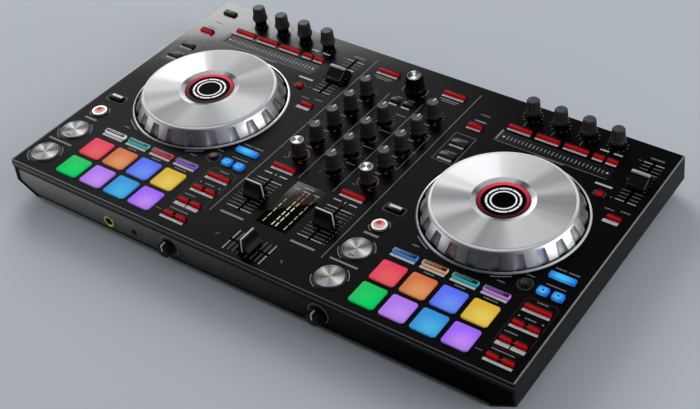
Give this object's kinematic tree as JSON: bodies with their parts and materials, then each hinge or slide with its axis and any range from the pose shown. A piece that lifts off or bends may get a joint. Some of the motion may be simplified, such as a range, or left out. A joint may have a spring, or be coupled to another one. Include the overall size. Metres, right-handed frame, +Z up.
{
  "type": "dj controller",
  "caption": "Two-deck DJ controller with turning jog wheels, pads, knobs and faders round a central mixer section.",
  "frame": {"origin": "middle of the footprint, on the surface that the feet stand on", "axes": "+X to the user's right, +Y to the back with the rear sockets, +Z up"},
  "size_m": [0.551, 0.3288, 0.062],
  "materials": {
    "panel": "satin black moulded top plate with white print",
    "shell": "fine-textured dark grey moulding",
    "base": "textured black moulding with rubber feet",
    "fascia": "satin dark grey front fascia",
    "board": "green circuit board with soldered parts",
    "aluminium": "spun aluminium",
    "silver_paint": "silver painted grip",
    "black_gloss": "gloss black",
    "smoked_window": "smoked clear window",
    "gold": "gold-plated socket nut",
    "silicone": "translucent silicone, lit from below",
    "red_key": "translucent red key caps",
    "grey_key": "dark grey key caps",
    "knob_black": "soft-touch black cap with a white pointer",
    "knob_grey": "soft-touch grey cap with a white pointer"
  },
  "bodies": {
    "root": {"top_panel": "panel", "case_shell": "shell", "bottom_plate": "base", "front_panel": "fascia", "main_board": "board", "headphone_jacks": "gold", "meter_window": "smoked_window", "left_touch_strip": "black_gloss", "right_touch_strip": "black_gloss", "left_jog_display": "black_gloss", "right_jog_display": "black_gloss"},
    "left_jog": {"left_jog_rim": "silver_paint", "left_jog_plate": "aluminium"},
    "right_jog": {"right_jog_rim": "silver_paint", "right_jog_plate": "aluminium"},
    "left_tempo_fader": {"left_tempo_fader": "knob_black"},
    "right_tempo_fader": {"right_tempo_fader": "knob_black"},
    "left_channel_fader": {"left_channel_fader": "knob_black"},
    "right_channel_fader": {"right_channel_fader": "knob_black"},
    "crossfader": {"crossfader": "knob_black"},
    "left_play_button": {"left_play_button": "aluminium"},
    "left_cue_button": {"left_cue_button": "aluminium"},
    "left_pads": {"left_pads": "silicone"},
    "left_mode_keys": {"left_mode_keys": "grey_key"},
    "left_fx_keys": {"left_fx_keys": "red_key"},
    "left_loop_keys": {"left_loop_keys": "red_key"},
    "left_side_keys": {"left_side_keys": "grey_key"},
    "right_play_button": {"right_play_button": "aluminium"},
    "right_cue_button": {"right_cue_button": "aluminium"},
    "right_pads": {"right_pads": "silicone"},
    "right_mode_keys": {"right_mode_keys": "grey_key"},
    "right_fx_keys": {"right_fx_keys": "red_key"},
    "right_loop_keys": {"right_loop_keys": "red_key"},
    "right_side_keys": {"right_side_keys": "grey_key"},
    "mixer_keys": {"mixer_keys": "red_key"},
    "browse_knob": {"browse_knob": "knob_black"},
    "phones_level_knob": {"phones_level_knob": "knob_black"},
    "mic_level_knob": {"mic_level_knob": "knob_black"},
    "left_fx_knob_1": {"left_fx_knob_1": "knob_grey"},
    "left_fx_knob_2": {"left_fx_knob_2": "knob_grey"},
    "left_fx_knob_3": {"left_fx_knob_3": "knob_grey"},
    "left_fx_knob_4": {"left_fx_knob_4": "knob_grey"},
    "right_fx_knob_1": {"right_fx_knob_1": "knob_grey"},
    "right_fx_knob_2": {"right_fx_knob_2": "knob_grey"},
    "right_fx_knob_3": {"right_fx_knob_3": "knob_grey"},
    "right_fx_knob_4": {"right_fx_knob_4": "knob_grey"},
    "left_trim_knob": {"left_trim_knob": "knob_black"},
    "left_high_knob": {"left_high_knob": "knob_black"},
    "left_mid_knob": {"left_mid_knob": "knob_black"},
    "left_low_knob": {"left_low_knob": "knob_black"},
    "left_filter_knob": {"left_filter_knob": "knob_black"},
    "right_trim_knob": {"right_trim_knob": "knob_black"},
    "right_high_knob": {"right_high_knob": "knob_black"},
    "right_mid_knob": {"right_mid_knob": "knob_black"},
    "right_low_knob": {"right_low_knob": "knob_black"},
    "right_filter_knob": {"right_filter_knob": "knob_black"},
    "master_level_knob": {"master_level_knob": "knob_black"},
    "booth_level_knob": {"booth_level_knob": "knob_black"},
    "cue_mix_knob": {"cue_mix_knob": "knob_black"},
    "sampler_level_knob": {"sampler_level_knob": "knob_black"}
  },
  "joints": [
    {"name": "left_jog_spin", "type": "hinge", "parent": "root", "child": "left_jog", "pos_m": [-0.1678, 0.009, 0.042], "axis": [0, 0, 1], "continuous": true},
    {"name": "right_jog_spin", "type": "hinge", "parent": "root", "child": "right_jog", "pos_m": [0.1678, 0.009, 0.042], "axis": [0, 0, 1], "continuous": true},
    {"name": "left_tempo_fader_slide", "type": "slide", "parent": "root", "child": "left_tempo_fader", "axis": [0, 1, 0], "range_m": [-0.03, 0.03]},
    {"name": "right_tempo_fader_slide", "type": "slide", "parent": "root", "child": "right_tempo_fader", "axis": [0, 1, 0], "range_m": [-0.03, 0.03]},
    {"name": "left_channel_fader_slide", "type": "slide", "parent": "root", "child": "left_channel_fader", "axis": [0, 1, 0], "range_m": [-0.022, 0.022]},
    {"name": "right_channel_fader_slide", "type": "slide", "parent": "root", "child": "right_channel_fader", "axis": [0, 1, 0], "range_m": [-0.022, 0.022]},
    {"name": "crossfader_slide", "type": "slide", "parent": "root", "child": "crossfader", "axis": [1, 0, 0], "range_m": [-0.019, 0.019]},
    {"name": "left_play_button_press", "type": "slide", "parent": "root", "child": "left_play_button", "axis": [0, 0, 1], "range_m": [-0.0008, 0], "stiffness_N_per_m": 900, "springref_m": 0.0006},
    {"name": "left_cue_button_press", "type": "slide", "parent": "root", "child": "left_cue_button", "axis": [0, 0, 1], "range_m": [-0.0008, 0], "stiffness_N_per_m": 900, "springref_m": 0.0006},
    {"name": "left_pads_press", "type": "slide", "parent": "root", "child": "left_pads", "axis": [0, 0, 1], "range_m": [-0.0006, 0], "stiffness_N_per_m": 2500, "springref_m": 0.0006},
    {"name": "left_mode_keys_press", "type": "slide", "parent": "root", "child": "left_mode_keys", "axis": [0, 0, 1], "range_m": [-0.0008, 0], "stiffness_N_per_m": 900, "springref_m": 0.0006},
    {"name": "left_fx_keys_press", "type": "slide", "parent": "root", "child": "left_fx_keys", "axis": [0, 0, 1], "range_m": [-0.0008, 0], "stiffness_N_per_m": 900, "springref_m": 0.0006},
    {"name": "left_loop_keys_press", "type": "slide", "parent": "root", "child": "left_loop_keys", "axis": [0, 0, 1], "range_m": [-0.0008, 0], "stiffness_N_per_m": 900, "springref_m": 0.0006},
    {"name": "left_side_keys_press", "type": "slide", "parent": "root", "child": "left_side_keys", "axis": [0, 0, 1], "range_m": [-0.0008, 0], "stiffness_N_per_m": 900, "springref_m": 0.0006},
    {"name": "right_play_button_press", "type": "slide", "parent": "root", "child": "right_play_button", "axis": [0, 0, 1], "range_m": [-0.0008, 0], "stiffness_N_per_m": 900, "springref_m": 0.0006},
    {"name": "right_cue_button_press", "type": "slide", "parent": "root", "child": "right_cue_button", "axis": [0, 0, 1], "range_m": [-0.0008, 0], "stiffness_N_per_m": 900, "springref_m": 0.0006},
    {"name": "right_pads_press", "type": "slide", "parent": "root", "child": "right_pads", "axis": [0, 0, 1], "range_m": [-0.0006, 0], "stiffness_N_per_m": 2500, "springref_m": 0.0006},
    {"name": "right_mode_keys_press", "type": "slide", "parent": "root", "child": "right_mode_keys", "axis": [0, 0, 1], "range_m": [-0.0008, 0], "stiffness_N_per_m": 900, "springref_m": 0.0006},
    {"name": "right_fx_keys_press", "type": "slide", "parent": "root", "child": "right_fx_keys", "axis": [0, 0, 1], "range_m": [-0.0008, 0], "stiffness_N_per_m": 900, "springref_m": 0.0006},
    {"name": "right_loop_keys_press", "type": "slide", "parent": "root", "child": "right_loop_keys", "axis": [0, 0, 1], "range_m": [-0.0008, 0], "stiffness_N_per_m": 900, "springref_m": 0.0006},
    {"name": "right_side_keys_press", "type": "slide", "parent": "root", "child": "right_side_keys", "axis": [0, 0, 1], "range_m": [-0.0008, 0], "stiffness_N_per_m": 900, "springref_m": 0.0006},
    {"name": "mixer_keys_press", "type": "slide", "parent": "root", "child": "mixer_keys", "axis": [0, 0, 1], "range_m": [-0.0008, 0], "stiffness_N_per_m": 900, "springref_m": 0.0006},
    {"name": "browse_knob_turn", "type": "hinge", "parent": "root", "child": "browse_knob", "pos_m": [0, 0.1224, 0.042], "axis": [0, 0, 1], "continuous": true},
    {"name": "phones_level_knob_turn", "type": "hinge", "parent": "root", "child": "phones_level_knob", "pos_m": [-0.083, -0.1566, 0.0177], "axis": [0, -1, 0], "range_deg": [-150, 150]},
    {"name": "mic_level_knob_turn", "type": "hinge", "parent": "root", "child": "mic_level_knob", "pos_m": [0.083, -0.1566, 0.0177], "axis": [0, -1, 0], "range_deg": [-150, 150]},
    {"name": "left_fx_knob_1_turn", "type": "hinge", "parent": "root", "child": "left_fx_knob_1", "pos_m": [-0.21292, 0.1434, 0.042], "axis": [0, 0, 1], "range_deg": [-150, 150]},
    {"name": "left_fx_knob_2_turn", "type": "hinge", "parent": "root", "child": "left_fx_knob_2", "pos_m": [-0.18284, 0.1434, 0.042], "axis": [0, 0, 1], "range_deg": [-150, 150]},
    {"name": "left_fx_knob_3_turn", "type": "hinge", "parent": "root", "child": "left_fx_knob_3", "pos_m": [-0.15276, 0.1434, 0.042], "axis": [0, 0, 1], "range_deg": [-150, 150]},
    {"name": "left_fx_knob_4_turn", "type": "hinge", "parent": "root", "child": "left_fx_knob_4", "pos_m": [-0.12268, 0.1434, 0.042], "axis": [0, 0, 1], "continuous": true},
    {"name": "right_fx_knob_1_turn", "type": "hinge", "parent": "root", "child": "right_fx_knob_1", "pos_m": [0.12268, 0.1434, 0.042], "axis": [0, 0, 1], "range_deg": [-150, 150]},
    {"name": "right_fx_knob_2_turn", "type": "hinge", "parent": "root", "child": "right_fx_knob_2", "pos_m": [0.15276, 0.1434, 0.042], "axis": [0, 0, 1], "range_deg": [-150, 150]},
    {"name": "right_fx_knob_3_turn", "type": "hinge", "parent": "root", "child": "right_fx_knob_3", "pos_m": [0.18284, 0.1434, 0.042], "axis": [0, 0, 1], "range_deg": [-150, 150]},
    {"name": "right_fx_knob_4_turn", "type": "hinge", "parent": "root", "child": "right_fx_knob_4", "pos_m": [0.21292, 0.1434, 0.042], "axis": [0, 0, 1], "continuous": true},
    {"name": "left_trim_knob_turn", "type": "hinge", "parent": "root", "child": "left_trim_knob", "pos_m": [-0.0393, 0.0948, 0.042], "axis": [0, 0, 1], "range_deg": [-150, 150]},
    {"name": "left_high_knob_turn", "type": "hinge", "parent": "root", "child": "left_high_knob", "pos_m": [-0.0393, 0.067, 0.042], "axis": [0, 0, 1], "range_deg": [-150, 150]},
    {"name": "left_mid_knob_turn", "type": "hinge", "parent": "root", "child": "left_mid_knob", "pos_m": [-0.0393, 0.0392, 0.042], "axis": [0, 0, 1], "range_deg": [-150, 150]},
    {"name": "left_low_knob_turn", "type": "hinge", "parent": "root", "child": "left_low_knob", "pos_m": [-0.0393, 0.0114, 0.042], "axis": [0, 0, 1], "range_deg": [-150, 150]},
    {"name": "left_filter_knob_turn", "type": "hinge", "parent": "root", "child": "left_filter_knob", "pos_m": [-0.0393, -0.0164, 0.042], "axis": [0, 0, 1], "range_deg": [-150, 150]},
    {"name": "right_trim_knob_turn", "type": "hinge", "parent": "root", "child": "right_trim_knob", "pos_m": [0.0393, 0.0948, 0.042], "axis": [0, 0, 1], "range_deg": [-150, 150]},
    {"name": "right_high_knob_turn", "type": "hinge", "parent": "root", "child": "right_high_knob", "pos_m": [0.0393, 0.067, 0.042], "axis": [0, 0, 1], "range_deg": [-150, 150]},
    {"name": "right_mid_knob_turn", "type": "hinge", "parent": "root", "child": "right_mid_knob", "pos_m": [0.0393, 0.0392, 0.042], "axis": [0, 0, 1], "range_deg": [-150, 150]},
    {"name": "right_low_knob_turn", "type": "hinge", "parent": "root", "child": "right_low_knob", "pos_m": [0.0393, 0.0114, 0.042], "axis": [0, 0, 1], "range_deg": [-150, 150]},
    {"name": "right_filter_knob_turn", "type": "hinge", "parent": "root", "child": "right_filter_knob", "pos_m": [0.0393, -0.0164, 0.042], "axis": [0, 0, 1], "range_deg": [-150, 150]},
    {"name": "master_level_knob_turn", "type": "hinge", "parent": "root", "child": "master_level_knob", "pos_m": [0, 0.067, 0.042], "axis": [0, 0, 1], "range_deg": [-150, 150]},
    {"name": "booth_level_knob_turn", "type": "hinge", "parent": "root", "child": "booth_level_knob", "pos_m": [0, 0.0392, 0.042], "axis": [0, 0, 1], "range_deg": [-150, 150]},
    {"name": "cue_mix_knob_turn", "type": "hinge", "parent": "root", "child": "cue_mix_knob", "pos_m": [0, 0.0114, 0.042], "axis": [0, 0, 1], "range_deg": [-150, 150]},
    {"name": "sampler_level_knob_turn", "type": "hinge", "parent": "root", "child": "sampler_level_knob", "pos_m": [0, -0.0164, 0.042], "axis": [0, 0, 1], "range_deg": [-150, 150]}
  ]
}
